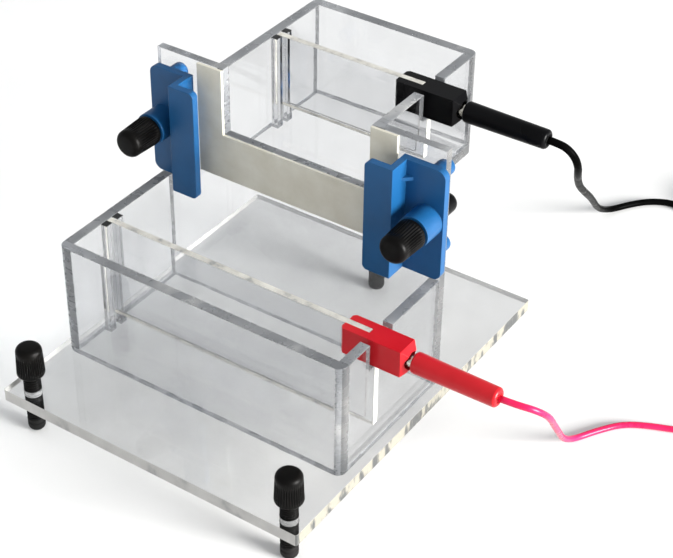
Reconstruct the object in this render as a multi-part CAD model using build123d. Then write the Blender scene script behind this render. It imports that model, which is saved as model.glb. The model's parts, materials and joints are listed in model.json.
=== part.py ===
from build123d import *
import math
import os

# Vertical gel electrophoresis tank: two clear acrylic buffer tanks joined by a tall notched
# gel panel, on a base plate with three levelling screws. Millimetres, +Z up.
# The origin is on the table, under the middle of the tank's bounding box without its leads.
# X runs along the tanks' width, Y from the lower tank (front) to the upper tank (rear).

# Base plate and levelling
base_width = 160.0
base_depth = 193.0
base_thick = 6.0
base_lift = 17.5           # underside of the base above the table
screw_inset = (9.7, 8.7)   # levelling screws, in from the base's edges along X and Y
stud_dia = 8.0             # M8
running_gap = 0.05         # radial clearance of a shaft that slides or turns in a hole
foot_dia = 8.0
foot_height = 7.0
pivot_dia = 5.0
pivot_length = 3.5

# Thumb knobs: diameter at the stud's end, diameter at the nose, length
screw_knob = (12.9, 12.1, 15.6)
clamp_knob_size = (14.2, 12.8, 16.9)
knob_lift = 7.9            # gap between the base and a levelling knob
screw_grip = 12.0          # how far a levelling stud reaches into its knob

# Tanks, measured from the base plate's front edge and its top face
wall = 5.0
panel_thick = 4.0
tank_width = 151.2
tank_front = 38.4
lower_height = 58.4
panel_front = 113.0
panel_height = 123.9
notch_width = 78.0
notch_sill = 91.0
upper_back = 192.0
upper_floor_top = 77.0
corner_round = 4.0

# Gasket round the panel's notch
gasket_thick = 1.5
gasket_arm = 13.6
gasket_bottom = 68.0

# Electrode cards, their guides, and the holders that plug into the walls
card_thick = 3.0
card_gap = 0.3
lower_card_y = 67.3
upper_card_y = 154.3
lower_card_bottom = 9.0
upper_card_bottom = 88.0
guide_width = 4.0
guide_depth = 3.5
holder_length = 32.0
holder_inside = 12.0       # how far a holder reaches inside its tank
holder_width = 11.0
holder_height = 13.0
wall_notch_width = 17.0
seat_gap = 0.2             # between parts that rest or slide on each other
wire_dia = 0.6

# 4 mm plugs and their leads
pin_dia = 4.0
pin_length = 15.0
collar_dia = 6.2
collar_length = 4.5
counterbore_dia = 8.4
counterbore_depth = 3.0
socket_dia = 6.4
sleeve_dia = 9.6
sleeve_tail_dia = 8.8
sleeve_length = 40.0
black_lead_dia = 3.5
red_lead_dia = 3.0

# Clamps, measured for the right one: the left one is its mirror image
clamp_thick = 3.5
clamp_plate = (135.6, 157.7)     # X limits of the plate, from the base's left edge
clamp_height = (61.0, 116.0)
clamp_flange_front = 98.5
clamp_flange_width = 13.8
boss_dia = 15.0
boss_front = 98.0
boss_height = 90.0
boss_inset = 7.9           # boss axis in from the plate's outer edge
peg_dia = 8.0
peg_pitch = 19.5           # pegs above and below the boss axis
peg_length = 12.0
gusset_side = 3.6
gusset_thick = 1.8
gusset_inset = 7.4         # ribs, in from the ends of the plate
clamp_stud_dia = 6.0
stud_front = 85.5
insert_dia = 9.0
insert_length = 13.5
cap_dia = 9.4              # cap nut behind the panel
cap_length = 10.5
cap_depth = 8.0            # threaded hole in the cap nut, from the panel

# Limits and planes in the part's own frame
overhang = tank_width / 2 - wall - holder_inside + holder_length - base_width / 2
mid_x = -overhang / 2
base_left = mid_x - base_width / 2
base_right = mid_x + base_width / 2
front = -base_depth / 2
deck = base_lift + base_thick
left_in = mid_x - tank_width / 2 + wall
right_in = mid_x + tank_width / 2 - wall
slot_left = mid_x - notch_width / 2
slot_right = mid_x + notch_width / 2
lower_top = deck + lower_height
upper_top = deck + panel_height

os.makedirs("parts", exist_ok=True)


def save(shape, name):
    """Writes one sub-part under its own name."""
    shape.label = name
    export_step(shape, f"parts/{name}.step")


def brick(xs, ys, zs):
    """A box between pairs of limits."""
    limits = (xs, ys, zs)
    size = [high - low for low, high in limits]
    middle = [(high + low) / 2 for low, high in limits]
    return Pos(*middle) * Box(*size)


def rod(start, axis, length, dia, end_dia=None):
    """A round bar, or a cone, from a point along an axis."""
    plane = Plane(origin=start, z_dir=axis)
    if end_dia is None:
        bar = Cylinder(dia / 2, length, align=(Align.CENTER, Align.CENTER, Align.MIN))
    else:
        bar = Cone(dia / 2, end_dia / 2, length, align=(Align.CENTER, Align.CENTER, Align.MIN))
    return plane * bar


def end_edges(shape, axis, last=True):
    """The edges of a shape's end face along an axis."""
    faces = shape.faces().sort_by(axis)
    return (faces[-1] if last else faces[0]).edges()


def upright_edges(shape, x=None, y=None):
    """The vertical edges of a shape that stand at a given X or Y."""
    edges = shape.edges().filter_by(Axis.Z)
    if x is not None:
        edges = edges.filter_by(lambda e: abs(e.center().X - x) < 0.01)
    if y is not None:
        edges = edges.filter_by(lambda e: abs(e.center().Y - y) < 0.01)
    return edges


def from_front(y):
    """A distance from the base's front edge, as Y."""
    return front + y


def base_plate(screws):
    plate = brick((base_left, base_right), (front, -front), (base_lift, deck))
    plate = chamfer(plate.edges().filter_by(Axis.Z), 0.6)
    for x, y in screws.values():
        plate -= rod((x, y, base_lift - 1), (0, 0, 1), base_thick + 2, stud_dia + 2 * running_gap)
    return plate


def lower_tank():
    """The lower tank's front and side walls. The base is its floor and the panel its rear wall."""
    outer = (mid_x - tank_width / 2, mid_x + tank_width / 2)
    y0 = from_front(tank_front)
    y1 = from_front(panel_front)
    face = brick(outer, (y0, y0 + wall), (deck, lower_top))
    face = fillet(upright_edges(face, y=y0), corner_round)
    left = brick((outer[0], left_in), (y0 + wall, y1), (deck, lower_top))
    right = brick((right_in, outer[1]), (y0 + wall, y1), (deck, lower_top))
    right -= wall_notch(right_in, lower_card_y, lower_top)
    return {"lower_front_wall": face, "lower_left_wall": left, "lower_right_wall": right}


def wall_notch(x, card_y, top):
    """The cut-out in a right-hand wall that an electrode holder sits in."""
    y = from_front(card_y)
    half = wall_notch_width / 2
    return brick((x - 1, x + wall + 1), (y - half, y + half), (top - holder_height - seat_gap, top + 1))


def upper_tank():
    """The upper tank: a floor behind the panel with three walls standing on it."""
    y0 = from_front(panel_front + panel_thick)
    y1 = from_front(upper_back)
    outer = (slot_left - wall, slot_right + wall)
    floor_z = (deck + upper_floor_top - wall, deck + upper_floor_top)
    wall_z = (floor_z[1], upper_top)
    floor = brick(outer, (y0, y1), floor_z)
    floor = fillet(upright_edges(floor, y=y1), corner_round)
    back = brick(outer, (y1 - wall, y1), wall_z)
    back = fillet(upright_edges(back, y=y1), corner_round)
    left = brick((outer[0], slot_left), (y0, y1 - wall), wall_z)
    right = brick((slot_right, outer[1]), (y0, y1 - wall), wall_z)
    right -= wall_notch(slot_right, upper_card_y, upper_top)
    return {
        "upper_floor": floor,
        "upper_rear_wall": back,
        "upper_left_wall": left,
        "upper_right_wall": right,
    }


def clamp_axis():
    """X and Z of the right clamp's boss axis."""
    return base_left + clamp_plate[1] - boss_inset, deck + boss_height


def gel_panel():
    """The tall panel: rear wall of the lower tank, with a notch that opens into the upper tank."""
    ys = (from_front(panel_front), from_front(panel_front + panel_thick))
    panel = brick((mid_x - tank_width / 2, mid_x + tank_width / 2), ys, (deck, upper_top))
    panel -= brick((slot_left, slot_right), (ys[0] - 1, ys[1] + 1), (deck + notch_sill, upper_top + 1))
    x, z = clamp_axis()
    for side in (x, 2 * mid_x - x):
        panel -= rod((side, ys[0] - 1, z), (0, 1, 0), panel_thick + 2, clamp_stud_dia)
        for step in (-peg_pitch, peg_pitch):
            hole = peg_dia + 2 * running_gap
            panel -= rod((side, ys[0] - 1, z + step), (0, 1, 0), panel_thick + 2, hole)
    return panel


def panel_gasket():
    """The flat U-shaped gasket that the gel plates are pressed against."""
    ys = (from_front(panel_front - gasket_thick), from_front(panel_front))
    xs = (slot_left - gasket_arm, slot_right + gasket_arm)
    gasket = brick(xs, ys, (deck + gasket_bottom, upper_top - 0.3))
    return gasket - brick((slot_left, slot_right), (ys[0] - 1, ys[1] + 1), (deck + notch_sill, upper_top + 1))


def card_guides(x, card_y, z0, z1):
    """Two strips on a left-hand wall, with a groove between them for the card's edge."""
    y = from_front(card_y)
    groove = card_thick / 2 + seat_gap
    strips = []
    for side in (-1, 1):
        ys = sorted((y + side * groove, y + side * (groove + guide_width)))
        strips.append(brick((x, x + guide_depth), ys, (z0, z1)))
    return Compound(children=[solid for strip in strips for solid in strip.solids()])


def holder(x, card_y, top):
    """An electrode holder: a block with a slot that grips the card and a socket in its outer end."""
    y = from_front(card_y)
    half = holder_width / 2
    block = brick((x, x + holder_length), (y - half, y + half), (top - holder_height, top))
    block = chamfer(end_edges(block, Axis.X), 2.4)
    block = chamfer(upright_edges(block, x=x), 1.2)
    block -= brick((x - 1, x + holder_inside), (y - card_thick / 2, y + card_thick / 2), (top - 20, top + 1))
    axis = (x + holder_length + 1, y, top - holder_height / 2)
    block -= rod(axis, (-1, 0, 0), counterbore_depth + 1, counterbore_dia)
    return block - rod(axis, (-1, 0, 0), counterbore_depth + 1 + pin_length + 1, socket_dia)


def socket(x, card_y, top):
    """The brass sleeve inside a holder that takes a 4 mm plug pin."""
    start = (x + holder_length - counterbore_depth, from_front(card_y), top - holder_height / 2)
    sleeve = rod(start, (-1, 0, 0), pin_length + 1, socket_dia)
    return sleeve - rod(start, (-1, 0, 0), pin_length + 0.5, pin_dia + 2 * running_gap)


def electrode_card(x0, x1, card_y, bottom, top):
    y = from_front(card_y)
    card = brick((x0, x1), (y - card_thick / 2, y + card_thick / 2), (bottom, top))
    return chamfer(card.edges().filter_by(Axis.Y), 0.4)


def electrode_wire(x0, x1, card_y, bottom, top):
    """The platinum wire, down the card's front face from the holder and along its lower edge."""
    y = from_front(card_y) - card_thick / 2 - wire_dia / 2 - 0.02
    points = [(x1, y, top), (x1, y, bottom), (x0, y, bottom)]
    path = FilletPolyline(*points, radius=2)
    return sweep(Plane(origin=points[0], z_dir=(0, 0, -1)) * Circle(wire_dia / 2), path=path)


def plug_pin(start, axis):
    """A plug's metal: collar, then pin. It points along the axis, from the sleeve's front face."""
    tip = Vector(start) + Vector(axis) * collar_length
    pin = rod(tip, axis, pin_length, pin_dia)
    sort_axis = Axis(tip, axis)
    pin = fillet(end_edges(pin, sort_axis), 1.2)
    return rod(start, axis, collar_length, collar_dia) + pin


def plug_sleeve(start, axis):
    """A plug's insulating sleeve, from its rounded front face back along the axis to the lead."""
    sleeve = rod(start, axis, sleeve_length, sleeve_dia, sleeve_tail_dia)
    sort_axis = Axis(start, axis)
    sleeve = fillet(end_edges(sleeve, sort_axis), 1.0)
    return fillet(end_edges(sleeve, sort_axis, last=False), 1.6)


def knob(start, axis, size):
    """A knurled thumb knob's plain outer shape, from the end that the stud enters."""
    base_dia, nose_dia, length = size
    body = rod(start, axis, length, base_dia, nose_dia)
    sort_axis = Axis(start, axis)
    body = fillet(end_edges(body, sort_axis), 2.0)
    return fillet(end_edges(body, sort_axis, last=False), 1.2)


def levelling_screw(x, y):
    """Foot, stud and knob. The stud's pivot turns in the foot, and the knob is fixed on the stud."""
    foot = rod((x, y, 0), (0, 0, 1), foot_height, foot_dia)
    foot = fillet(end_edges(foot, Axis.Z, last=False), 2.6)
    pivot_z = foot_height - pivot_length
    foot -= rod((x, y, pivot_z), (0, 0, 1), pivot_length + 1, pivot_dia + 2 * running_gap)
    knob_z = deck + knob_lift
    stud_z = foot_height + seat_gap
    stud = rod((x, y, stud_z), (0, 0, 1), knob_z + screw_grip - stud_z, stud_dia)
    stud += rod((x, y, pivot_z + seat_gap), (0, 0, 1), pivot_length, pivot_dia)
    grip = knob((x, y, knob_z), (0, 0, 1), screw_knob)
    grip -= rod((x, y, knob_z - 1), (0, 0, 1), screw_grip + 1, stud_dia)
    return {"foot": foot, "stud": stud, "knob": grip}


def clamp_jaw():
    """The right clamp's jaw: plate, web and flange in one Z-section, with its boss and guide pegs."""
    plate_x = [base_left + x for x in clamp_plate]
    web_x = (plate_x[0], plate_x[0] + clamp_thick - 0.4)
    flange_x = (web_x[1] - clamp_flange_width, web_x[1])
    back = from_front(panel_front) - seat_gap
    lip = from_front(clamp_flange_front)
    zs = [deck + z for z in clamp_height]
    plate = brick(plate_x, (back - clamp_thick, back), zs)
    outer = plate.edges().filter_by(Axis.Y).filter_by(lambda e: e.center().X > plate_x[1] - 0.01)
    plate = fillet(outer, 4.0)
    flange = brick(flange_x, (lip, lip + clamp_thick), zs)
    inner = flange.edges().filter_by(Axis.Y).filter_by(lambda e: e.center().X < flange_x[0] + 0.01)
    flange = fillet(inner, 2.5)
    jaw = plate + flange + brick(web_x, (lip, back), zs)
    x, z = clamp_axis()
    jaw += rod((x, back, z), (0, -1, 0), back - from_front(boss_front), boss_dia)
    for step in (-peg_pitch, peg_pitch):
        peg = rod((x, back - 1, z + step), (0, 1, 0), peg_length + 1, peg_dia)
        jaw += fillet(end_edges(peg, Axis.Y), 1.5)
    for height in (zs[0] + gusset_inset, zs[1] - gusset_inset):
        jaw += gusset(web_x[1], back - clamp_thick, height)
    return jaw - rod((x, back + 1, z), (0, -1, 0), 30, clamp_stud_dia + 2 * running_gap)


def gusset(x, y, z):
    """A small triangular rib between the web and the plate."""
    side = gusset_side
    corner = Polygon((-0.5, 0.5), (side, 0.5), (side, 0), (0, -side), (-0.5, -side), align=None)
    return extrude(Pos(x, y, z) * corner, gusset_thick)


def clamp_fixings():
    """The right clamp's stud, cap nut and washer, which stay on the panel."""
    x, z = clamp_axis()
    rear = from_front(panel_front + panel_thick)
    washer_dia = cap_dia + 1.2
    washer = rod((x, rear, z), (0, 1, 0), 1.0, washer_dia) - rod((x, rear - 1, z), (0, 1, 0), 3, clamp_stud_dia)
    cap = rod((x, rear + 1, z), (0, 1, 0), cap_length, cap_dia)
    cap = fillet(end_edges(cap, Axis.Y), 3.6)
    cap -= rod((x, rear, z), (0, 1, 0), cap_depth, clamp_stud_dia)
    start = from_front(stud_front)
    stud = rod((x, start, z), (0, 1, 0), rear + cap_depth - start, clamp_stud_dia)
    stud = chamfer(end_edges(stud, Axis.Y, last=False), 0.6)
    return {"clamp_stud": stud, "clamp_washer": washer, "clamp_nut": cap}


def clamp_knob():
    """The right clamp's knob and the brass insert that runs on the stud."""
    x, z = clamp_axis()
    start = from_front(boss_front) - seat_gap
    grip = knob((x, start, z), (0, -1, 0), clamp_knob_size)
    grip -= rod((x, start + 1, z), (0, -1, 0), insert_length + 1, insert_dia)
    insert = rod((x, start, z), (0, -1, 0), insert_length, insert_dia)
    insert -= rod((x, start + 1, z), (0, -1, 0), insert_length + 2, clamp_stud_dia + 2 * running_gap)
    return {"clamp_knob": grip, "knob_insert": insert}


def arc_radii(points):
    """The largest tangent arc at each corner of a route: 0.45 of the shorter run over tan(half turn)."""
    spots = [Vector(*p) for p in points]
    radii = []
    for before, here, after in zip(spots, spots[1:], spots[2:]):
        arriving = here - before
        leaving = after - here
        half_turn = math.radians(arriving.get_angle(leaving)) / 2
        radii.append(0.45 * min(arriving.length, leaving.length) / math.tan(half_turn))
    return radii


def lead_tube(name, points, dia):
    """A stretch of lead: straight runs joined by tangent arcs."""
    radii = arc_radii(points)
    print(name, "radii", [round(r, 1) for r in radii])
    path = FilletPolyline(*points, radius=radii)
    start = Vector(*points[0])
    tube = sweep(Plane(origin=start, z_dir=Vector(*points[1]) - start) * Circle(dia / 2), path=path)
    print(name, "volume over section times length", round(tube.volume / (math.pi * dia**2 / 4 * path.length), 4))
    return tube


def coil(centre, mean_radius, dia, layers):
    """The outer shape of a coil of three turns side by side, in layers, lying on the table."""
    inner = mean_radius - 1.5 * dia
    ring = Cylinder(mean_radius + 1.5 * dia, layers * dia, align=(Align.CENTER, Align.CENTER, Align.MIN))
    ring -= Cylinder(inner, 3 * layers * dia)
    ring = fillet(ring.edges().filter_by(GeomType.CIRCLE), 0.45 * dia)
    return Pos(centre[0], centre[1], 0) * ring


# Where the holders start, and how far a socket's axis is below a holder's top
lower_holder_x = right_in - holder_inside
upper_holder_x = slot_right - holder_inside
socket_drop = holder_height / 2

# The leads' routes, from the plug's sleeve to the coil, then from the coil to the far plug.
# A sleeve starts collar_length less counterbore_depth outside its holder.
sleeve_gap = collar_length - counterbore_depth
black_exit = (upper_holder_x + holder_length + sleeve_gap + sleeve_length, from_front(upper_card_y),
              upper_top - socket_drop)
red_exit = (lower_holder_x + holder_length + sleeve_gap + sleeve_length, from_front(lower_card_y),
            lower_top - socket_drop)

black_coil_centre = (116.0, 262.0)
black_coil_radius = 19.25
red_coil_centre = (204.0, 105.0)
red_coil_radius = 17.5

black_route = [
    black_exit,
    (99.8, 57.8, 140.9),
    (105.5, 58.4, 139.2),
    (109.9, 60.4, 134.4),
    (110.6, 64.2, 128.0),
    (107.2, 70.8, 119.6),
    (101.4, 80.5, 110.0),
    (94.5, 95.0, 97.5),
    (87.5, 117.0, 79.5),
    (78.5, 144.0, 58.5),
    (68.5, 172.0, 36.0),
    (61.0, 194.0, 17.5),
    (58.0, 208.5, 6.5),
    (59.5, 218.5, 1.75),
    (64.8, 227.5, 1.75),
    (72.5, 237.0, 1.75),
    (84.0, 243.0, 1.75),
    (95.0, 240.5, 1.75),
    (black_coil_centre[0] - 13.4, black_coil_centre[1] - black_coil_radius - 3.4, 1.75),
]
red_route = [
    red_exit,
    (134.8, -29.2, 75.4),
    (144.0, -27.8, 73.6),
    (148.8, -22.4, 68.6),
    (148.6, -13.5, 60.5),
    (144.0, -2.0, 48.0),
    (137.0, 15.0, 29.0),
    (130.5, 31.0, 11.0),
    (129.5, 43.0, 1.5),
    (135.0, 54.0, 1.5),
    (142.5, 65.0, 1.5),
    (152.5, 71.0, 1.5),
    (164.0, 75.5, 1.5),
    (177.0, 82.0, 1.5),
    (red_coil_centre[0] - 12.5, red_coil_centre[1] - red_coil_radius - 2.9, 1.5),
]
black_tail = [
    (black_coil_centre[0] + 10.0, black_coil_centre[1] - black_coil_radius - 1.6, 4.8),
    (black_coil_centre[0] + 18.0, black_coil_centre[1] - black_coil_radius - 1.2, 4.8),
    (black_coil_centre[0] + 27.0, black_coil_centre[1] - black_coil_radius + 0.2, 4.8),
    (black_coil_centre[0] + 35.0, black_coil_centre[1] - black_coil_radius + 0.2, 4.8),
]
red_tail = [
    (red_coil_centre[0] + red_coil_radius + 2.6, red_coil_centre[1] + 10.0, 4.6),
    (red_coil_centre[0] + red_coil_radius + 2.2, red_coil_centre[1] + 21.0, 4.8),
    (red_coil_centre[0] + red_coil_radius + 0.6, red_coil_centre[1] + 32.0, 4.8),
    (red_coil_centre[0] + red_coil_radius + 0.6, red_coil_centre[1] + 42.0, 4.8),
]


def build_tank():
    screws = {
        "front_left": (base_left + screw_inset[0], front + screw_inset[1]),
        "front_right": (base_right - screw_inset[0], front + screw_inset[1]),
        "rear": (mid_x, -front - screw_inset[1]),
    }
    save(base_plate(screws), "base_plate")
    for name, shape in {**lower_tank(), **upper_tank()}.items():
        save(shape, name)
    save(gel_panel(), "gel_panel")
    save(panel_gasket(), "panel_gasket")
    save(card_guides(left_in, lower_card_y, deck, lower_top), "lower_card_guides")
    floor = deck + upper_floor_top
    save(card_guides(slot_left, upper_card_y, floor, upper_top), "upper_card_guides")
    for place, (x, y) in screws.items():
        for name, shape in levelling_screw(x, y).items():
            save(shape, f"{place}_{name}")


def build_clamps():
    parts = {"clamp_jaw": clamp_jaw(), **clamp_fixings(), **clamp_knob()}
    for name, shape in parts.items():
        save(shape, "right_" + name)
        save(mirror(shape, about=Plane.YZ.offset(mid_x)), "left_" + name)


def build_electrode(place, colour, holder_x, left, card_y, bottom, top):
    """One electrode: card, wire, holder and socket, with the plug that is pushed into it."""
    card = electrode_card(left + card_gap, holder_x + holder_inside - 0.05, card_y, bottom, top)
    save(card, f"{place}_card")
    wire_right = holder_x + holder_inside - 4
    wire = electrode_wire(left + 6, wire_right, card_y, bottom + 2.5, top - holder_height - 0.3)
    save(wire, f"{place}_wire")
    save(holder(holder_x, card_y, top), f"{colour}_holder")
    save(socket(holder_x, card_y, top), f"{colour}_socket")
    sleeve_front = (holder_x + holder_length + sleeve_gap, from_front(card_y), top - socket_drop)
    save(plug_pin(sleeve_front, (-1, 0, 0)), f"{colour}_plug_pin")
    save(plug_sleeve(sleeve_front, (1, 0, 0)), f"{colour}_plug_sleeve")


def build_lead(colour, route, tail, centre, radius, dia, layers, axis):
    """A lead, its stored coil, and the plug at its far end."""
    save(lead_tube(f"{colour}_lead", route, dia), f"{colour}_lead")
    save(coil(centre, radius, dia, layers), f"{colour}_coil")
    save(lead_tube(f"{colour}_tail", tail, dia), f"{colour}_tail")
    back = Vector(*tail[-1])
    nose = back + Vector(*axis) * sleeve_length
    save(plug_sleeve(nose, Vector(*axis) * -1), f"{colour}_far_sleeve")
    save(plug_pin(nose, Vector(*axis)), f"{colour}_far_pin")


build_tank()
build_clamps()
build_electrode("lower", "red", lower_holder_x, left_in, lower_card_y, deck + lower_card_bottom, lower_top)
build_electrode("upper", "black", upper_holder_x, slot_left, upper_card_y, deck + upper_card_bottom, upper_top)
build_lead("red", red_route, red_tail, red_coil_centre, red_coil_radius, red_lead_dia, 2, (0, 1, 0))
build_lead("black", black_route, black_tail, black_coil_centre, black_coil_radius, black_lead_dia, 2, (1, 0, 0))
print("middle plane", round(mid_x, 3), "red exit", red_exit, "black exit", black_exit)
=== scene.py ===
import json
import math

import bmesh
import bpy
from mathutils import Matrix, Vector


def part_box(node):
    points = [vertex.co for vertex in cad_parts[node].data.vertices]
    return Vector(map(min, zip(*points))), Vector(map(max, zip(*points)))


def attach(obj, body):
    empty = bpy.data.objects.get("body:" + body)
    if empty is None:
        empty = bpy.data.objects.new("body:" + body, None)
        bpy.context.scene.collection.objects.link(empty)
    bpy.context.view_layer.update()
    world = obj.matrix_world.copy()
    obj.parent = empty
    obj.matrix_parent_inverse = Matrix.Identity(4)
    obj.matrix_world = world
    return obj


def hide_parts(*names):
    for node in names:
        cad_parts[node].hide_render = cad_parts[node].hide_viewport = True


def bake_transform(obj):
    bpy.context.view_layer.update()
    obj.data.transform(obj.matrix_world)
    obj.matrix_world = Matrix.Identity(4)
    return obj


# The gel electrophoresis tank's looks. Lengths are in metres, and MM turns millimetres into them.

MM = 0.001

LINE_OF_SIGHT = (33.72, 36.73, 0.875)    # azimuth, elevation and roll, in degrees
CAMERA_PLACE = (0.3675, -0.5087, 0.5311)
CAMERA_LENS = 93.54                      # millimetres, on a sensor 36 mm wide

BEVEL_ANGLE = math.radians(32)           # CAD edges sharper than this are broken
CREASE_ANGLE = math.radians(38)          # edges sharper than this stay creased in the shading
SHEET_EASE = 0.3 * MM                    # width of the broken edge of an acrylic sheet
SHEET_GAP = 0.015 * MM                   # how far a sheet is drawn in from its neighbours

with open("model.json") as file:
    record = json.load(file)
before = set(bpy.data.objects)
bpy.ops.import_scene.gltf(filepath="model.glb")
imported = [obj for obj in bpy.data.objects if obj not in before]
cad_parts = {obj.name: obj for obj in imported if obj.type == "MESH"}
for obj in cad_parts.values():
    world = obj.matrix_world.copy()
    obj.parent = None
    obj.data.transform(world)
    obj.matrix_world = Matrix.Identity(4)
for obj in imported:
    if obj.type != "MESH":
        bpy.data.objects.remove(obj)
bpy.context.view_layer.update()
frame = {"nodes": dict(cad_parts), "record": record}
record = frame["record"]
BODY_OF = {node: body for body, nodes in record["behaviour"]["bodies"].items() for node in nodes}

X_AXIS = Vector((1, 0, 0))
Y_AXIS = Vector((0, 1, 0))
Z_AXIS = Vector((0, 0, 1))


# ---------------------------------------------------------------- camera

def make_camera():
    """The photograph's view, from the front and right, with a slight roll."""
    azimuth, elevation, roll = (math.radians(angle) for angle in LINE_OF_SIGHT)
    level = math.cos(elevation)
    forward = Vector((-math.sin(azimuth) * level, math.cos(azimuth) * level, -math.sin(elevation)))
    across = Vector((math.cos(azimuth), math.sin(azimuth), 0))
    right = Matrix.Rotation(-roll, 3, forward) @ across
    axes = Matrix((right, right.cross(forward), -forward)).transposed()
    data = bpy.data.cameras.new("camera")
    data.sensor_width = 36
    data.lens = CAMERA_LENS
    data.clip_start = 0.01
    data.clip_end = 50
    camera = bpy.data.objects.new("camera", data)
    camera.matrix_world = Matrix.Translation(CAMERA_PLACE) @ axes.to_4x4()
    bpy.context.scene.collection.objects.link(camera)
    bpy.context.scene.camera = camera


# ---------------------------------------------------------------- meshes

def middle(node):
    low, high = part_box(node)
    return (low + high) / 2


def skin(rings, cap_start=True, cap_end=True):
    """A surface through rings of points, each with the same number of points."""
    bm = bmesh.new()
    rows = [[bm.verts.new(point) for point in ring] for ring in rings]
    count = len(rows[0])
    for lower, upper in zip(rows, rows[1:]):
        for i in range(count):
            j = (i + 1) % count
            bm.faces.new((lower[i], lower[j], upper[j], upper[i]))
    if cap_start:
        bm.faces.new(rows[0][::-1])
    if cap_end:
        bm.faces.new(rows[-1])
    bmesh.ops.recalc_face_normals(bm, faces=bm.faces)
    return bm


def turned(profile, sides, grooves=0, depth=0.0):
    """A lathe shape about Z, from profile rows of (radius, height) or (radius, height, share).

    The grooves run along it. A row's share is how much of their full depth they have there.
    """
    rings = []
    for row in profile:
        share = row[2] if len(row) > 2 else 0.0
        ring = []
        for i in range(sides):
            angle = 2 * math.pi * i / sides
            wave = 0.5 - 0.5 * math.cos(grooves * angle)
            radius = row[0] - depth * share * wave
            ring.append(Vector((radius * math.cos(angle), radius * math.sin(angle), row[1])))
        rings.append(ring)
    return skin(rings)


def rounded(centre, radius, start, end, steps=6):
    """Profile rows of an arc about a centre, between two angles in degrees."""
    rows = []
    for i in range(steps + 1):
        angle = math.radians(start + (end - start) * i / steps)
        rows.append((centre[0] + radius * math.cos(angle), centre[1] + radius * math.sin(angle)))
    return rows


def threaded(length, dia, pitch, depth, sides=40, steps=8):
    """A threaded bar about Z, from 0 to its length, with chamfered ends."""
    rings = []
    count = round(length / pitch * steps)
    for k in range(count + 1):
        z = length * k / count
        fade = min(1.0, min(z, length - z) / (0.6 * pitch))
        ring = []
        for i in range(sides):
            turn = (z / pitch - i / sides) % 1.0
            crest = min(1.0, max(0.0, (abs(2 * turn - 1) - 0.15) / 0.6))
            radius = dia / 2 - depth * (1 - crest * fade)
            angle = 2 * math.pi * i / sides
            ring.append(Vector((radius * math.cos(angle), radius * math.sin(angle), z)))
        rings.append(ring)
    return skin(rings)


def placed(bm, start, axis):
    """Moves a shape made about Z so that it starts at a point and runs along an axis."""
    turn = Vector(axis).to_track_quat("Z", "Y").to_matrix().to_4x4()
    bmesh.ops.transform(bm, matrix=Matrix.Translation(start) @ turn, verts=bm.verts)
    return bm


def eased(node, width, gap=0.0):
    """A CAD node's shape with its sharp edges broken, its faces drawn in by a gap."""
    bm = bmesh.new()
    bm.from_mesh(frame["nodes"][node].data)
    bmesh.ops.remove_doubles(bm, verts=bm.verts, dist=0.002 * MM)
    bmesh.ops.dissolve_limit(bm, angle_limit=math.radians(0.5), verts=bm.verts, edges=bm.edges)
    bm.normal_update()
    sharp = [e for e in bm.edges if e.is_manifold and e.calc_face_angle() > BEVEL_ANGLE]
    bmesh.ops.bevel(
        bm, geom=sharp, offset=width, segments=2, profile=0.6, affect="EDGES", clamp_overlap=True
    )
    bm.normal_update()
    for vert in bm.verts:
        vert.co -= vert.normal * gap
    return bm


def add_piece(name, bm, materials, *nodes, choose=None):
    """Makes a visible piece that stands for CAD nodes and rides where the first of them does."""
    mesh = bpy.data.meshes.new(name)
    bm.to_mesh(mesh)
    bm.free()
    for material in materials:
        mesh.materials.append(material)
    if choose:
        for polygon in mesh.polygons:
            polygon.material_index = choose(polygon)
    mesh.shade_smooth()
    mesh.set_sharp_from_angle(angle=CREASE_ANGLE)
    piece = bpy.data.objects.new(name, mesh)
    bpy.context.scene.collection.objects.link(piece)
    level = piece.modifiers.new("level", "WEIGHTED_NORMAL")
    level.weight = 100
    level.keep_sharp = True
    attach(piece, BODY_OF[nodes[0]])
    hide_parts(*nodes)
    return piece


# ---------------------------------------------------------------- materials

ACRYLIC_IOR = 1.49


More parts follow.
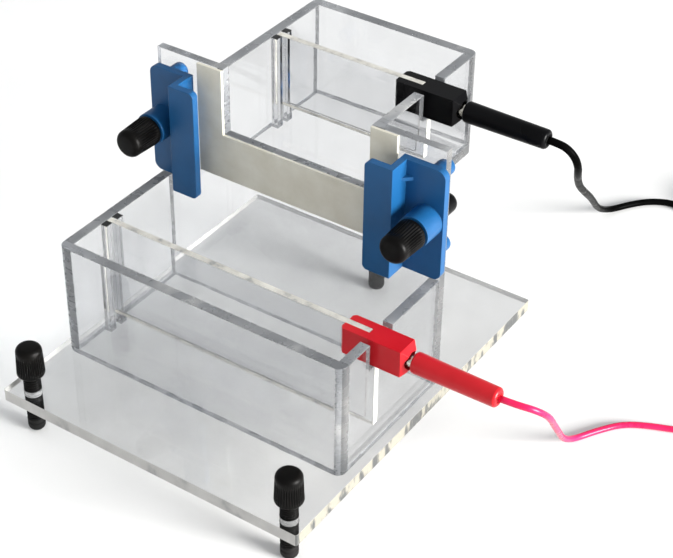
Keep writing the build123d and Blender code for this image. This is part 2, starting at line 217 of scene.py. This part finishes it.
class Paint:
    """A procedural material round one Principled shader, with patterns in object coordinates."""

    def __init__(self, name, **constants):
        self.material = bpy.data.materials.new(name)
        self.material.use_nodes = True
        self.nodes = self.material.node_tree.nodes
        self.links = self.material.node_tree.links
        self.shader = self.nodes["Principled BSDF"]
        self.place = self.nodes.new("ShaderNodeTexCoord").outputs["Object"]
        for key, value in constants.items():
            self.shader.inputs[key.replace("_", " ")].default_value = value

    def noise(self, size, detail=3.0, stretch=(1, 1, 1), rough=0.55):
        """Noise whose features are about a size across, drawn out by a stretch along each axis."""
        mapping = self.nodes.new("ShaderNodeMapping")
        mapping.inputs["Scale"].default_value = [1 / (size * s) for s in stretch]
        self.links.new(self.place, mapping.inputs["Vector"])
        noise = self.nodes.new("ShaderNodeTexNoise")
        noise.inputs["Scale"].default_value = 1.0
        noise.inputs["Detail"].default_value = detail
        noise.inputs["Roughness"].default_value = rough
        self.links.new(mapping.outputs["Vector"], noise.inputs["Vector"])
        return noise.outputs["Fac"]

    def between(self, value, low, high, source=(0.3, 0.7)):
        """A value spread from one range to another."""
        spread = self.nodes.new("ShaderNodeMapRange")
        spread.inputs["From Min"].default_value = source[0]
        spread.inputs["From Max"].default_value = source[1]
        spread.inputs["To Min"].default_value = low
        spread.inputs["To Max"].default_value = high
        self.links.new(value, spread.inputs["Value"])
        return spread.outputs["Result"]

    def ramp(self, value, *stops):
        """A colour for each value, from stops of (place, colour)."""
        ramp = self.nodes.new("ShaderNodeValToRGB")
        elements = ramp.color_ramp.elements
        while len(elements) < len(stops):
            elements.new(0.5)
        for element, (place, colour) in zip(elements, stops):
            element.position = place
            element.color = (*colour, 1)
        self.links.new(value, ramp.inputs["Fac"])
        return ramp.outputs["Color"]

    def drive(self, socket, value):
        self.links.new(value, self.shader.inputs[socket])
        return self

    def bump(self, *layers):
        """Surface relief, from layers of (height, distance)."""
        normal = None
        for height, distance in layers:
            bump = self.nodes.new("ShaderNodeBump")
            bump.inputs["Distance"].default_value = distance
            self.links.new(height, bump.inputs["Height"])
            if normal:
                self.links.new(normal, bump.inputs["Normal"])
            normal = bump.outputs["Normal"]
        self.links.new(normal, self.shader.inputs["Normal"])
        return self

    def lets_lamps_through(self, tint):
        """Lamps shine through, tinted, so that what is behind the sheet is lit."""
        path = self.nodes.new("ShaderNodeLightPath")
        clear = self.nodes.new("ShaderNodeBsdfTransparent")
        clear.inputs["Color"].default_value = (*tint, 1)
        mix = self.nodes.new("ShaderNodeMixShader")
        self.links.new(path.outputs["Is Shadow Ray"], mix.inputs["Fac"])
        self.links.new(self.shader.outputs["BSDF"], mix.inputs[1])
        self.links.new(clear.outputs["BSDF"], mix.inputs[2])
        output = self.nodes["Material Output"]
        self.links.new(mix.outputs["Shader"], output.inputs["Surface"])
        return self


def acrylic_face(name, dark, light, lamp_tint):
    """Polished acrylic: clear, with a faint wipe haze and hairline scratches."""
    paint = Paint(name, IOR=ACRYLIC_IOR, Transmission_Weight=1.0)
    haze = paint.noise(14 * MM, detail=4)
    hairs = paint.noise(1.2 * MM, detail=2, stretch=(9, 1, 1))
    paint.drive("Base Color", paint.ramp(haze, (0.35, dark), (0.7, light)))
    paint.drive("Roughness", paint.between(haze, 0.0, 0.012))
    paint.bump((hairs, 0.002 * MM))
    return paint.lets_lamps_through(lamp_tint).material


def sawn_edge(name, slate, grey, pale):
    """A sawn and flamed edge: grey with brighter streaks along it."""
    paint = Paint(name, IOR=ACRYLIC_IOR, Transmission_Weight=0.4)
    patches = paint.noise(22 * MM, detail=3, rough=0.5)
    streaks = paint.noise(0.9 * MM, detail=3, stretch=(8, 8, 3))
    paint.drive("Base Color", paint.ramp(patches, (0.36, slate), (0.60, grey), (0.76, pale)))
    paint.drive("Roughness", paint.between(streaks, 0.16, 0.42))
    paint.bump((streaks, 0.03 * MM), (patches, 0.15 * MM))
    return paint.lets_lamps_through((0.5, 0.52, 0.54)).material


def machined_edge(name, clear, size, detail, stretch, rough, stops):
    """An edge left matt by the cutter, with patches of colour that the noise settings shape."""
    paint = Paint(name, IOR=ACRYLIC_IOR, Transmission_Weight=clear)
    patches = paint.noise(size, detail=detail, stretch=stretch, rough=rough)
    saw = paint.noise(0.7 * MM, detail=2, stretch=(1, 1, 6))
    paint.drive("Base Color", paint.ramp(patches, *stops))
    paint.drive("Roughness", paint.between(saw, 0.3, 0.6))
    paint.bump((saw, 0.06 * MM))
    return paint.lets_lamps_through((0.5, 0.5, 0.48)).material


def foam():
    """Cream silicone foam with a matt skin and fine pores."""
    paint = Paint("gasket_foam", IOR=1.4)
    tone = paint.noise(12 * MM, detail=4)
    pores = paint.noise(0.35 * MM, detail=2)
    dark, light = (0.66, 0.63, 0.53), (0.76, 0.74, 0.65)
    paint.drive("Base Color", paint.ramp(tone, (0.3, dark), (0.7, light)))
    paint.drive("Roughness", paint.between(pores, 0.72, 0.95))
    return paint.bump((pores, 0.06 * MM)).material


def moulded(name, dark, light, roughness, grain=0.5, level=0.5):
    """Injection-moulded plastic: a colour that drifts a little, and a fine spark-eroded grain."""
    paint = Paint(name, IOR=1.5, Specular_IOR_Level=level)
    drift = paint.noise(16 * MM, detail=3)
    texture = paint.noise(grain * MM, detail=2)
    paint.drive("Base Color", paint.ramp(drift, (0.3, dark), (0.7, light)))
    paint.drive("Roughness", paint.between(drift, roughness - 0.06, roughness + 0.08))
    return paint.bump((texture, 0.012 * MM)).material


def metal(name, dark, light, roughness, stretch=(1, 1, 1)):
    """Bare or plated metal with fine turning marks and a little tarnish."""
    paint = Paint(name, Metallic=1.0)
    tarnish = paint.noise(3 * MM, detail=4)
    marks = paint.noise(0.25 * MM, detail=2, stretch=stretch)
    paint.drive("Base Color", paint.ramp(tarnish, (0.35, dark), (0.65, light)))
    paint.drive("Roughness", paint.between(marks, roughness - 0.07, roughness + 0.12))
    return paint.bump((marks, 0.004 * MM)).material


def lead_rubber(name, dark, light, level, ior, coat):
    """Glossy silicone lead with slow changes of gloss and a faint dust."""
    paint = Paint(name, IOR=ior, Specular_IOR_Level=level, Coat_Weight=coat, Coat_Roughness=0.12)
    drift = paint.noise(9 * MM, detail=4)
    dust = paint.noise(0.5 * MM, detail=2)
    paint.drive("Base Color", paint.ramp(drift, (0.3, dark), (0.7, light)))
    paint.drive("Roughness", paint.between(drift, 0.22, 0.4))
    return paint.bump((dust, 0.01 * MM)).material


def floor_paint():
    """A plain pale floor with slow, faint clouds in its tone."""
    paint = Paint("floor", Specular_IOR_Level=0.2)
    cloud = paint.noise(120 * MM, detail=4)
    dark, light = (0.88, 0.88, 0.875), (0.92, 0.92, 0.915)
    paint.drive("Base Color", paint.ramp(cloud, (0.3, dark), (0.7, light)))
    paint.drive("Roughness", paint.between(cloud, 0.65, 0.8))
    return paint.material


# Acrylic: clear faces, a thicker base plate, and the finishes of the edges. Some edge copies are
# painted darker or paler by which way they face the key lamp.
FACE = acrylic_face(
    "acrylic_face", (0.83, 0.835, 0.845), (0.87, 0.875, 0.885), lamp_tint=(0.86, 0.865, 0.87)
)
PLATE = acrylic_face(
    "acrylic_plate", (0.70, 0.705, 0.71), (0.75, 0.755, 0.76), lamp_tint=(0.78, 0.785, 0.79)
)
EDGE = sawn_edge("acrylic_edge", (0.24, 0.25, 0.265), (0.36, 0.37, 0.385), (0.66, 0.66, 0.65))
# A darker copy of the sawn edge, painted shade, for edges that face the key lamp and the walls of
# the base's holes.
LAMP_SIDE_EDGE_PAINTED_SHADE = sawn_edge(
    "acrylic_lamp_side_edge_painted_shade", (0.11, 0.115, 0.12), (0.17, 0.172, 0.175), (0.28, 0.28, 0.275)
)
# A paler copy of the sawn edge, painted light, for the base plate's edges facing +Y.
BACK_EDGE_PAINTED_LIGHT = sawn_edge(
    "acrylic_back_edge_painted_light", (0.58, 0.585, 0.59), (0.68, 0.68, 0.68), (0.82, 0.82, 0.81)
)
CREAM = machined_edge(
    "cream_edge", clear=0.12, size=7 * MM, detail=5, stretch=(1, 1, 1), rough=0.7,
    stops=[(0.36, (0.33, 0.335, 0.33)), (0.46, (0.62, 0.60, 0.55)), (0.66, (0.80, 0.785, 0.72))],
)
# A darker copy of the machined edge, painted shade, for the base plate's edges that face the key
# lamp.
PATCHY_EDGE_PAINTED_SHADE = machined_edge(
    "patchy_edge_painted_shade", clear=0.1, size=5 * MM, detail=3, stretch=(1, 1, 3), rough=0.6,
    stops=[(0.42, (0.075, 0.078, 0.078)), (0.47, (0.13, 0.13, 0.12)), (0.52, (0.30, 0.285, 0.235))],
)
MATT = machined_edge(
    "matt_edge", clear=0.12, size=11 * MM, detail=4, stretch=(1, 1, 1), rough=0.55,
    stops=[(0.32, (0.36, 0.36, 0.355)), (0.42, (0.50, 0.49, 0.475)), (0.66, (0.58, 0.57, 0.55))],
)

# Plastics and rubber.
FOAM = foam()
BLUE = moulded("clamp_blue", (0.007, 0.072, 0.195), (0.010, 0.088, 0.235), 0.36, level=0.3)
RED = moulded("plug_red", (0.50, 0.006, 0.012), (0.58, 0.009, 0.017), 0.34, level=0.35)
BLACK = moulded("plug_black", (0.001, 0.001, 0.0015), (0.003, 0.003, 0.0035), 0.30, level=0.1)
KNOB_BLACK = moulded(
    "knob_black", (0.001, 0.001, 0.001), (0.003, 0.0025, 0.002), 0.40, grain=0.3, level=0.1
)
NYLON = moulded(
    "stud_nylon", (0.002, 0.002, 0.002), (0.005, 0.0045, 0.004), 0.40, grain=0.2, level=0.12
)
FOOT_RUBBER = moulded(
    "foot_rubber", (0.005, 0.005, 0.005), (0.010, 0.009, 0.009), 0.62, grain=0.3, level=0.2
)
RED_LEAD = lead_rubber(
    "red_lead_rubber", (0.66, 0.008, 0.072), (0.78, 0.015, 0.11), level=0.4, ior=1.42, coat=0.05
)
BLACK_LEAD = lead_rubber(
    "black_lead_rubber", (0.001, 0.001, 0.001), (0.003, 0.003, 0.003), level=0.1, ior=1.12, coat=0.0
)

# Metals.
NICKEL = metal("nickel", (0.60, 0.57, 0.50), (0.74, 0.71, 0.64), 0.18)
BRASS = metal("brass", (0.58, 0.42, 0.17), (0.72, 0.56, 0.27), 0.26)
STEEL = metal("steel", (0.46, 0.46, 0.45), (0.60, 0.60, 0.59), 0.28)
PLATINUM = metal("platinum", (0.62, 0.61, 0.59), (0.74, 0.73, 0.71), 0.16)

PLASTIC = {"red": RED, "black": BLACK}
RUBBER = {"red": RED_LEAD, "black": BLACK_LEAD}


# ---------------------------------------------------------------- leads

BLACK_DIA = 3.5 * MM
RED_DIA = 3.0 * MM
SLEEVE_LONG = 40 * MM
COIL_STEPS = 16            # control points to a turn
JOG = 1 / 6                # the last part of a turn, where it steps across to the next one

# Each lead's route from its plug to its coil, in millimetres. The black one is the
# CAD part's. The red one leaves it by a few millimetres in its fall to the table.
BLACK_ROUTE = [
    (95.2, 57.8, 140.9),
    (99.0, 57.8, 140.9),
    (103.6, 58.4, 139.8),
    (107.0, 60.2, 135.4),
    (107.2, 63.8, 128.8),
    (104.4, 70.4, 120.6),
    (100.0, 80.5, 111.0),
    (94.5, 95.0, 97.5),
    (87.5, 117.0, 79.5),
    (78.5, 144.0, 58.5),
    (68.5, 172.0, 36.0),
    (61.0, 194.0, 17.5),
    (58.0, 208.5, 6.5),
    (59.5, 218.5, 1.75),
    (64.8, 227.5, 1.75),
    (72.5, 237.0, 1.75),
    (84.0, 243.0, 1.75),
    (95.0, 240.5, 1.75),
    (102.6, 239.35, 1.75),
]
RED_ROUTE = [
    (126.8, -29.2, 75.4),
    (133.8, -29.0, 75.6),
    (140.6, -26.6, 74.6),
    (143.8, -21.0, 69.4),
    (142.6, -12.8, 60.5),
    (139.4, -2.0, 48.0),
    (134.2, 15.0, 29.0),
    (129.2, 31.0, 11.0),
    (128.8, 42.6, 1.5),
    (135.0, 54.0, 1.5),
    (142.5, 65.0, 1.5),
    (152.5, 71.0, 1.5),
    (164.0, 75.5, 1.5),
    (177.0, 82.0, 1.5),
    (192.0, 84.6, 1.5),
]


def coil_points(node, dia, radii, turns):
    """A coil wound inwards on the table and back outwards on top, with a radius for each turn."""
    centre = middle(node)
    low = dia / 2
    high = low + dia
    first_upper = 3
    inside = 1 / (0.75 + 0.25 * math.cos(2 * math.pi / COIL_STEPS))
    points = []
    for k in range(1, round(turns * COIL_STEPS) + 1):
        turn = k / COIL_STEPS
        which = min(int(turn), len(radii) - 1)
        part = turn - which
        after = radii[min(which + 1, len(radii) - 1)]
        step = max(0.0, (part - 1 + JOG) / JOG)
        radius = (radii[which] + (after - radii[which]) * step) * inside
        climb = min(1.0, max(0.0, (turn - first_upper + 2 * JOG) / JOG))
        angle = 2 * math.pi * turn - math.pi / 2
        across = Vector((math.cos(angle), math.sin(angle), 0)) * radius
        points.append(Vector((centre.x, centre.y, low + (high - low) * climb)) + across)
    return points


def smooth_line(name, points):
    """The smooth curve of a lead, as points along the NURBS spline that its route controls."""
    curve = bpy.data.curves.new(name, "CURVE")
    curve.dimensions = "3D"
    curve.resolution_u = 6
    spline = curve.splines.new("NURBS")
    spline.points.add(len(points) - 1)
    for spot, point in zip(spline.points, points):
        spot.co = (*point, 1)
    spline.order_u = 3
    spline.use_endpoint_u = True
    holder = bpy.data.objects.new(name, curve)
    mesh = bpy.data.meshes.new_from_object(holder)
    line = [vert.co.copy() for vert in mesh.vertices]
    bpy.data.objects.remove(holder)
    bpy.data.curves.remove(curve)
    bpy.data.meshes.remove(mesh)
    return line


def tube_along(line, radius, sides=14):
    """A round tube along a line, its rings carried on without twist."""
    rings = []
    side = None
    for i, point in enumerate(line):
        ahead = (line[min(i + 1, len(line) - 1)] - line[max(i - 1, 0)]).normalized()
        side = (ahead.orthogonal() if side is None else side - ahead * side.dot(ahead)).normalized()
        over = ahead.cross(side)
        ring = []
        for k in range(sides):
            angle = 2 * math.pi * k / sides
            ring.append(point + (side * math.cos(angle) + over * math.sin(angle)) * radius)
        rings.append(ring)
    return skin(rings)


def make_lead(colour, route, dia, radii, turns, tail):
    """One lead from its plug to its far plug. Returns the piece, its line and its length."""
    points = [Vector(p) * MM for p in route]
    points += coil_points(f"{colour}_coil", dia, radii, turns) + tail
    line = smooth_line(f"{colour}_line", points)
    length = sum((b - a).length for a, b in zip(line, line[1:]))
    bm = tube_along(line, 0.985 * dia / 2)
    mesh = bpy.data.meshes.new(f"{colour}_lead_tube")
    bm.to_mesh(mesh)
    bm.free()
    mesh.materials.append(RUBBER[colour])
    mesh.shade_smooth()
    piece = bpy.data.objects.new(f"{colour}_lead_tube", mesh)
    bpy.context.scene.collection.objects.link(piece)
    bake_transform(piece)
    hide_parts(f"{colour}_lead", f"{colour}_coil", f"{colour}_tail")
    return piece, line, length


def plug_body(colour, node, front, axis, dia):
    """A plug's sleeve: rounded nose with a recess for the metal, tapered barrel, lip."""
    nose, tail, long = 4.8 * MM, 4.4 * MM, SLEEVE_LONG
    recess, lip = 3.25 * MM, dia / 2 + 0.9 * MM
    profile = [(recess, 1.6 * MM), (recess, 0.05 * MM)]
    profile += rounded((nose - 1.0 * MM, 1.0 * MM), 1.0 * MM, -90, 0)
    profile += [(nose - 0.1 * MM, 9 * MM), (nose - 0.12 * MM, 9.3 * MM)]
    profile += rounded((tail - 1.6 * MM, long - 1.6 * MM), 1.6 * MM, 0, 80)
    profile += [(lip, long - 0.05 * MM), (lip - 0.25 * MM, long - 0.5 * MM)]
    profile.append((dia / 2, long - 1.0 * MM))
    bm = placed(turned(profile, 56), front, axis)
    return add_piece(f"{node}_body", bm, [PLASTIC[colour]], node)


def plug_metal(node, start, axis):
    """A plug's metal: stepped collar, then a slotted spring pin that swells in its middle."""
    collar, pin = 3.1 * MM, 1.8 * MM
    profile = [(collar - 0.3 * MM, 0), (collar, 0.3 * MM), (collar, 2.9 * MM)]
    profile += [(collar - 0.5 * MM, 3.2 * MM), (collar - 0.5 * MM, 4.2 * MM)]
    profile += [(collar - 0.8 * MM, 4.5 * MM), (1.55 * MM, 4.5 * MM)]
    steps = 12
    for k in range(steps + 1):
        share = k / steps
        swell = 0.2 * MM * math.sin(math.pi * share)
        slot = min(1.0, 4 * share * (1 - share) + 0.2)
        profile.append((pin + swell, 5.2 * MM + 12.6 * MM * share, slot))
    profile += rounded((pin - 1.1 * MM, 18.4 * MM), 1.1 * MM, 0, 84)
    bm = placed(turned(profile, 64, grooves=4, depth=0.35 * MM), start, axis)
    return add_piece(f"{node}_metal", bm, [NICKEL], node)


def near_plug(colour, dia):
    """The plug that is pushed into the electrode holder."""
    low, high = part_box(f"{colour}_plug_sleeve")
    front = Vector((low.x, (low.y + high.y) / 2, (low.z + high.z) / 2))
    body = plug_body(colour, f"{colour}_plug_sleeve", front, X_AXIS, dia)
    pin = plug_metal(f"{colour}_plug_pin", front, -X_AXIS)
    return [body, pin]


def far_plug(colour, axis, dia):
    """The plug at the lead's far end, pointing along an axis."""
    low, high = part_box(f"{colour}_far_sleeve")
    centre = (low + high) / 2
    front = centre + axis * (high - low).dot(axis) / 2
    body = plug_body(colour, f"{colour}_far_sleeve", front, -axis, dia)
    pin = plug_metal(f"{colour}_far_pin", front, axis)
    return [body, pin]


def make_leads():
    """Both leads, each with the plug in its electrode holder and the plug at its far end."""
    black_end = middle("black_far_sleeve") - X_AXIS * SLEEVE_LONG / 2
    red_end = middle("red_far_sleeve") - Y_AXIS * SLEEVE_LONG / 2
    black_tail = [black_end - X_AXIS * 16 * MM, black_end - X_AXIS * 8 * MM, black_end]
    red_tail = [
        red_end - Y_AXIS * 19 * MM + X_AXIS * 0.6 * MM,
        red_end - Y_AXIS * 9 * MM,
        red_end,
    ]
    black_radii = [r * MM for r in (22.7, 19.25, 15.75, 17.4, 20.9, 20.9)]
    red_radii = [r * MM for r in (20.5, 17.5, 14.5, 14.1, 17.1, 20.1)]
    for colour, route, dia, radii, turns, tail, axis, electrode in (
        ("black", BLACK_ROUTE, BLACK_DIA, black_radii, 5.0, black_tail, X_AXIS, "upper_electrode"),
        ("red", RED_ROUTE, RED_DIA, red_radii, 5.25, red_tail, Y_AXIS, "lower_electrode"),
    ):
        piece, line, length = make_lead(colour, route, dia, radii, turns, tail)
        plugs = near_plug(colour, dia) + far_plug(colour, axis, dia)
        print(colour, "lead length", round(length, 4))


# ---------------------------------------------------------------- acrylic

def sheet_materials_and_painted_light(node):
    """A sheet's finishes: large faces, edges facing +X, edges facing +Y, other edges, holes. The
    edges facing +X, and the base's holes, take copies painted darker as shade against the key lamp;
    the base's edges facing +Y take one painted paler.
    """
    if node == "base_plate":
        return [PLATE, PATCHY_EDGE_PAINTED_SHADE, BACK_EDGE_PAINTED_LIGHT, MATT, LAMP_SIDE_EDGE_PAINTED_SHADE]
    if node in ("lower_card", "upper_card"):
        return [FACE, CREAM, CREAM, CREAM, CREAM]
    return [FACE, LAMP_SIDE_EDGE_PAINTED_SHADE, EDGE, EDGE, EDGE]


SHEETS = (
    "lower_front_wall", "lower_left_wall", "lower_right_wall", "upper_floor", "upper_rear_wall",
    "upper_left_wall", "upper_right_wall", "gel_panel", "base_plate", "lower_card", "upper_card",
)
EDGE_BAND = 1 * MM      # a face whose middle is within this of the sheet's outline is an edge
HOLE_INSET = 3 * MM     # one that is farther in than this is the wall of a hole


def make_sheets():
    """Each acrylic sheet with broken edges. Its two large faces are polished."""
    for node in SHEETS:
        low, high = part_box(node)
        size = high - low
        thin = min(range(3), key=lambda k: size[k])

        def pick_material_or_painted_light(polygon, thin=thin, low=low, high=high):
            spot = polygon.center
            if abs(polygon.normal[thin]) > 0.98:
                return 0
            # Edges facing +X face the key lamp, and their materials are painted darker, as shade.
            if polygon.normal.x > 0.5 and high.x - spot.x < EDGE_BAND:
                return 1
            if polygon.normal.y > 0.5 and high.y - spot.y < EDGE_BAND:
                return 2
            wide = [k for k in range(3) if k != thin]
            if all(min(high[k] - spot[k], spot[k] - low[k]) > HOLE_INSET for k in wide):
                return 4
            return 3

        bm = eased(node, SHEET_EASE, gap=SHEET_GAP)
        add_piece(f"{node}_sheet", bm, sheet_materials_and_painted_light(node), node, choose=pick_material_or_painted_light)
    for node in ("lower_card_guides", "upper_card_guides"):
        add_piece(f"{node}_strips", eased(node, 0.25 * MM, gap=SHEET_GAP), [FACE], node)


# ---------------------------------------------------------------- clamps, holders, screws

def knob_shape(node, axis):
    """A knurled thumb knob about Z, from the end that the stud enters, sized from its CAD node."""
    low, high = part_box(node)
    long = (high - low).dot(axis)
    wide = (high.x - low.x) / 2
    nose = 0.93 * wide
    rim, dome = 1.4 * MM, 2.8 * MM
    profile = [(0.66 * wide, 0.0)] + rounded((wide - rim, rim), rim, -80, 0)
    steps = 14
    for k in range(1, steps):
        share = k / steps
        height = rim + (long - rim - dome - 0.6 * MM) * share
        ridge = min(1.0, 6 * share, 5 * (1 - share))
        profile.append((wide + (nose - wide) * share, height, ridge))
    profile += rounded((nose - dome, long - dome), dome, 0, 84)
    profile.append((0.3 * MM, long))
    return turned(profile, 216, grooves=36, depth=0.42 * MM)


def make_clamp(side):
    """A clamp's jaw, knob and stud."""
    jaw = f"{side}_clamp_jaw"
    add_piece(f"{jaw}_moulding", eased(jaw, 0.45 * MM), [BLUE], jaw)
    low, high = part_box(f"{side}_clamp_knob")
    start = Vector(((low.x + high.x) / 2, high.y, (low.z + high.z) / 2))
    grip = placed(knob_shape(f"{side}_clamp_knob", Y_AXIS), start, -Y_AXIS)
    add_piece(f"{side}_clamp_knob_grip", grip, [KNOB_BLACK], f"{side}_clamp_knob")
    low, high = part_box(f"{side}_clamp_stud")
    start = Vector(((low.x + high.x) / 2, low.y, (low.z + high.z) / 2))
    bar = threaded(high.y - low.y, 6 * MM, 1 * MM, 0.5 * MM)
    add_piece(f"{side}_clamp_stud_bar", placed(bar, start, Y_AXIS), [STEEL], f"{side}_clamp_stud")


def make_levelling_screw(place):
    """A levelling screw's foot, stud and knob, all about one upright line."""
    low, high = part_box(f"{place}_foot")
    foot_wide = (high.x - low.x) / 2
    tall = high.z - low.z
    round_off = 2.6 * MM
    groove = foot_wide - 0.35 * MM
    profile = [(1.2 * MM, 0.0)] + rounded((foot_wide - round_off, round_off), round_off, -90, 0)
    profile += [(foot_wide, 4.2 * MM), (groove, 4.5 * MM), (groove, 5.0 * MM)]
    profile += [(foot_wide, 5.3 * MM), (foot_wide, tall - 0.5 * MM), (foot_wide - 0.5 * MM, tall)]
    profile += [(2.6 * MM, tall), (2.6 * MM, tall - 3.4 * MM)]
    base = Vector(((low.x + high.x) / 2, (low.y + high.y) / 2, 0))
    pad = placed(turned(profile, 48), base, Z_AXIS)
    add_piece(f"{place}_foot_pad", pad, [FOOT_RUBBER], f"{place}_foot")
    low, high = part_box(f"{place}_stud")
    ball = 3.4 * MM
    bar = threaded(high.z - low.z - ball, 8 * MM, 1.25 * MM, 0.62 * MM, sides=48)
    placed(bar, base + Z_AXIS * (low.z + ball), Z_AXIS)
    add_piece(f"{place}_stud_bar", bar, [NYLON], f"{place}_stud")
    low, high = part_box(f"{place}_knob")
    grip = placed(knob_shape(f"{place}_knob", Z_AXIS), base + Z_AXIS * low.z, Z_AXIS)
    add_piece(f"{place}_knob_grip", grip, [KNOB_BLACK], f"{place}_knob")


def make_fittings():
    """The gasket, the electrode holders, the clamps and the levelling screws."""
    add_piece("panel_gasket_foam", eased("panel_gasket", 0.3 * MM), [FOAM], "panel_gasket")
    for colour in ("red", "black"):
        node = f"{colour}_holder"
        add_piece(f"{node}_block", eased(node, 0.35 * MM), [PLASTIC[colour]], node)
    for side in ("left", "right"):
        make_clamp(side)
    for place in ("front_left", "front_right", "rear"):
        make_levelling_screw(place)


def paint_cad_nodes():
    """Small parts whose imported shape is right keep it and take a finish."""
    finishes = {
        "red_socket": BRASS,
        "black_socket": BRASS,
        "left_knob_insert": BRASS,
        "right_knob_insert": BRASS,
        "lower_wire": PLATINUM,
        "upper_wire": PLATINUM,
        "left_clamp_nut": BLACK,
        "right_clamp_nut": BLACK,
        "left_clamp_washer": BLACK,
        "right_clamp_washer": BLACK,
    }
    for node, material in finishes.items():
        piece = frame["nodes"][node]
        piece.data.materials.clear()
        piece.data.materials.append(material)


# ---------------------------------------------------------------- studio

def make_floor():
    """A plain floor just under the feet."""
    mesh = bpy.data.meshes.new("floor")
    half = 6.0
    corners = [(-half, -half, 0), (half, -half, 0), (half, half, 0), (-half, half, 0)]
    mesh.from_pydata(corners, [], [(0, 1, 2, 3)])
    mesh.materials.append(floor_paint())
    floor = bpy.data.objects.new("floor", mesh)
    floor.location.z = -0.2 * MM
    bpy.context.scene.collection.objects.link(floor)


def area_light(name, place, target, size, power, colour):
    """A round area light that shines from a place towards a target."""
    data = bpy.data.lights.new(name, "AREA")
    data.shape = "DISK"
    data.size = size
    data.energy = power
    data.color = colour
    light = bpy.data.objects.new(name, data)
    light.location = place
    light.rotation_mode = "QUATERNION"
    light.rotation_quaternion = (Vector(target) - Vector(place)).to_track_quat("-Z", "Y")
    bpy.context.scene.collection.objects.link(light)


def make_lights():
    """A large soft key from the far right, low down, and an even pale surround."""
    world = bpy.data.worlds.new("studio")
    world.use_nodes = True
    surround = world.node_tree.nodes["Background"]
    surround.inputs["Color"].default_value = (0.96, 0.98, 1.0, 1)
    surround.inputs["Strength"].default_value = 0.6
    bpy.context.scene.world = world
    area_light(
        "key", (3.4, 0.2, 0.88), target=(0, 0, 0.07), size=1.6, power=355, colour=(1.0, 0.99, 0.97)
    )
    bpy.context.scene.view_settings.view_transform = "Standard"


make_camera()
make_leads()
make_sheets()
make_fittings()
paint_cad_nodes()
make_floor()
make_lights()
